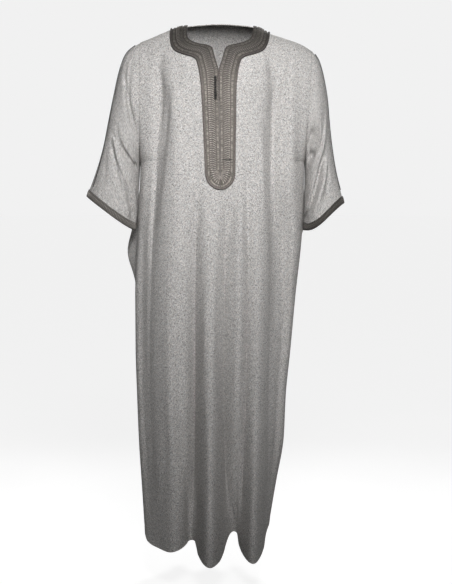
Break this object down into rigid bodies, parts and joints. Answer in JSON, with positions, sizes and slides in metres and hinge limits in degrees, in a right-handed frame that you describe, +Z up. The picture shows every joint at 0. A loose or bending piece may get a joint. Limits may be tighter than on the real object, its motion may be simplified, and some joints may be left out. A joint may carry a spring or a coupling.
{
  "type": "djellaba",
  "caption": "Long loose robe with short sleeves, a collarless V-slit neck edged in broad braid that runs down the chest, and braided cuffs, in its hollow worn form.",
  "frame": {"origin": "between the two points where the neckline crosses the shoulder ridge, where the wearer's shoulders carry the garment", "axes": "+Z up, -Y out of the front of the garment, +X to the wearer's left"},
  "size_m": [0.6635, 0.3335, 1.3606],
  "materials": {
    "melange_cloth": "light grey melange cloth, matt, with a slubby two-tone weave",
    "braid": "taupe grey braid, tightly corded, with a slight silk sheen",
    "cord": "dark taupe twisted cord"
  },
  "bodies": {
    "root": {"front": "melange_cloth", "back": "melange_cloth", "sleeve_right": "melange_cloth", "sleeve_left": "melange_cloth", "neck_band_right": "braid", "neck_band_left": "braid", "neck_band_back": "braid", "cuff_band_right": "braid", "cuff_band_left": "braid", "sleeve_cord_right": "cord", "sleeve_cord_left": "cord", "knot_1": "cord", "knot_2": "cord", "knot_3": "cord", "knot_4": "cord", "knot_5": "cord", "knot_6": "cord", "knot_7": "cord", "knot_8": "cord", "knot_9": "cord"}
  },
  "joints": []
}
